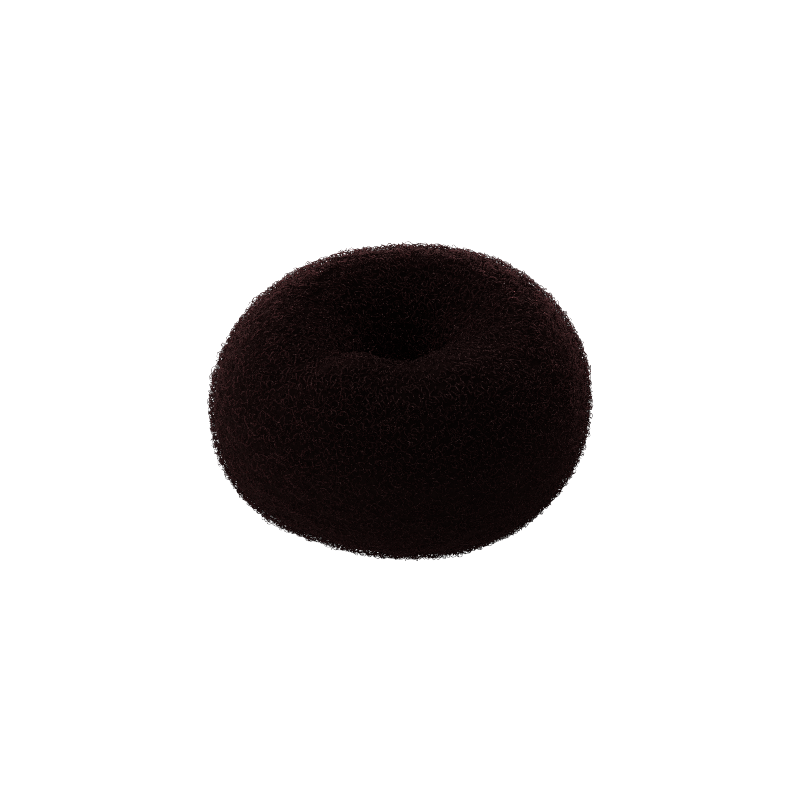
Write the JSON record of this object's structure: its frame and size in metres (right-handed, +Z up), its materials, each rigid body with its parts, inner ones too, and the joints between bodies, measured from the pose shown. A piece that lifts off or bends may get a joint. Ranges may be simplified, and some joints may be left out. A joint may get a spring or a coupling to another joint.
{
  "type": "hair donut bun maker",
  "caption": "Plump soft ring of curly net with an open centre hole, threaded over a ponytail to shape and fill a bun.",
  "frame": {"origin": "middle of the hole, on the surface that the ring rests on", "axes": "+Z up along the hole; -Y towards the side that the picture shows nearest, +X to its right"},
  "size_m": [0.0905, 0.0904, 0.0476],
  "materials": {
    "curly_net": "very dark brown curly nylon net"
  },
  "bodies": {
    "root": {"net_ring": "curly_net"}
  },
  "joints": []
}
